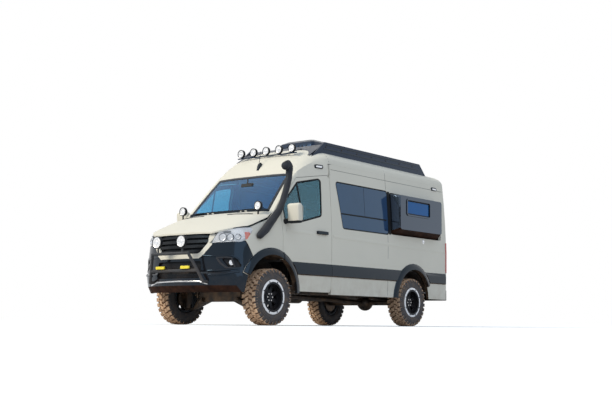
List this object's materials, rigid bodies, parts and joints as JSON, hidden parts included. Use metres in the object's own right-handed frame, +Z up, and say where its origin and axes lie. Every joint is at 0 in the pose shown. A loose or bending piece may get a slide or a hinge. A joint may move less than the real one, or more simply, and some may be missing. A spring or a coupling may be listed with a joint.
{
  "type": "camper van",
  "caption": "High-roof camper van with raised suspension, side pods, roof rack, guard bar, snorkel, hinged doors and hood, steered front wheels.",
  "frame": {"origin": "on the floor, below the middle of the bounding box", "axes": "+X forward, +Y to the left, +Z up"},
  "size_m": [6.031, 2.479, 2.995],
  "materials": {
    "body_paint": "gloss",
    "black_plastic": "gloss",
    "tinted_glass": "tinted",
    "lamp_lens": "clear",
    "tail_lens": "gloss",
    "black_metal": "satin",
    "chassis_steel": "satin",
    "cast_metal": "matte",
    "dark_plastic": "matte",
    "seat_fabric": "woven",
    "tyre": "matte",
    "rim_alloy": "satin"
  },
  "bodies": {
    "van": {"underbody": "chassis_steel", "engine": "cast_metal", "driveline": "chassis_steel", "front_axle": "chassis_steel", "rear_axle": "chassis_steel", "front_bumper": "black_plastic", "grille": "black_plastic", "grille_surround": "body_paint", "bull_bar": "black_metal", "lamp_housings": "black_plastic", "lamp_lenses": "lamp_lens", "headlamps": "lamp_lens", "tail_lamps": "tail_lens", "fenders": "body_paint", "cab_frame": "body_paint", "windshield": "tinted_glass", "roof": "body_paint", "side_left": "body_paint", "side_right": "body_paint", "sliding_door": "body_paint", "side_pods": "black_plastic", "side_glass": "tinted_glass", "side_cladding": "black_plastic", "rear_bumper": "black_plastic", "snorkel": "black_plastic", "roof_rack": "black_metal", "roof_unit": "black_plastic", "dashboard": "dark_plastic", "front_seats": "seat_fabric"},
    "door_left": {"door_left": "body_paint", "door_left_glass": "tinted_glass", "door_left_trim": "black_plastic", "mirror_left": "body_paint"},
    "door_right": {"door_right": "body_paint", "door_right_glass": "tinted_glass", "door_right_trim": "black_plastic", "mirror_right": "body_paint"},
    "rear_door_left": {"rear_door_left": "body_paint", "rear_door_left_glass": "tinted_glass"},
    "rear_door_right": {"rear_door_right": "body_paint", "rear_door_right_glass": "tinted_glass"},
    "hood": {"hood": "body_paint", "hood_lamps": "black_plastic", "hood_lamp_lenses": "lamp_lens"},
    "knuckle_left": {"knuckle_left": "chassis_steel"},
    "knuckle_right": {"knuckle_right": "chassis_steel"},
    "wheel_front_left": {"tyre_front_left": "tyre", "rim_front_left": "rim_alloy"},
    "wheel_front_right": {"tyre_front_right": "tyre", "rim_front_right": "rim_alloy"},
    "wheel_rear_left": {"tyre_rear_left": "tyre", "rim_rear_left": "rim_alloy"},
    "wheel_rear_right": {"tyre_rear_right": "tyre", "rim_rear_right": "rim_alloy"}
  },
  "joints": [
    {"name": "front_door_left", "type": "hinge", "parent": "van", "child": "door_left", "pos_m": [1.6785, 0.99556, 1.3], "axis": [0, 0, -1], "range_deg": [0, 65]},
    {"name": "back_door_left", "type": "hinge", "parent": "van", "child": "rear_door_left", "pos_m": [-2.9575, 0.842, 1.5], "axis": [0, 0, -1], "range_deg": [0, 180]},
    {"name": "steer_left", "type": "hinge", "parent": "van", "child": "knuckle_left", "pos_m": [1.8875, 0.7345, 0.402], "axis": [0, 0, 1], "range_deg": [-32, 32]},
    {"name": "spin_front_left", "type": "hinge", "parent": "knuckle_left", "child": "wheel_front_left", "pos_m": [1.8875, 0.8525, 0.402], "axis": [0, 1, 0], "continuous": true},
    {"name": "spin_rear_left", "type": "hinge", "parent": "van", "child": "wheel_rear_left", "pos_m": [-1.7775, 0.8525, 0.402], "axis": [0, 1, 0], "continuous": true},
    {"name": "front_door_right", "type": "hinge", "parent": "van", "child": "door_right", "pos_m": [1.6785, -0.99556, 1.3], "axis": [0, 0, 1], "range_deg": [0, 65]},
    {"name": "back_door_right", "type": "hinge", "parent": "van", "child": "rear_door_right", "pos_m": [-2.9575, -0.842, 1.5], "axis": [0, 0, 1], "range_deg": [0, 180]},
    {"name": "steer_right", "type": "hinge", "parent": "van", "child": "knuckle_right", "pos_m": [1.8875, -0.7345, 0.402], "axis": [0, 0, 1], "range_deg": [-32, 32]},
    {"name": "spin_front_right", "type": "hinge", "parent": "knuckle_right", "child": "wheel_front_right", "pos_m": [1.8875, -0.8525, 0.402], "axis": [0, 1, 0], "continuous": true},
    {"name": "spin_rear_right", "type": "hinge", "parent": "van", "child": "wheel_rear_right", "pos_m": [-1.7775, -0.8525, 0.402], "axis": [0, 1, 0], "continuous": true},
    {"name": "hood_lift", "type": "hinge", "parent": "van", "child": "hood", "pos_m": [1.8295, 0, 1.664], "axis": [0, -1, 0], "range_deg": [0, 55]}
  ],
  "couplings": [
    {"joint": "steer_right", "follows": "steer_left", "ratio": 1}
  ]
}
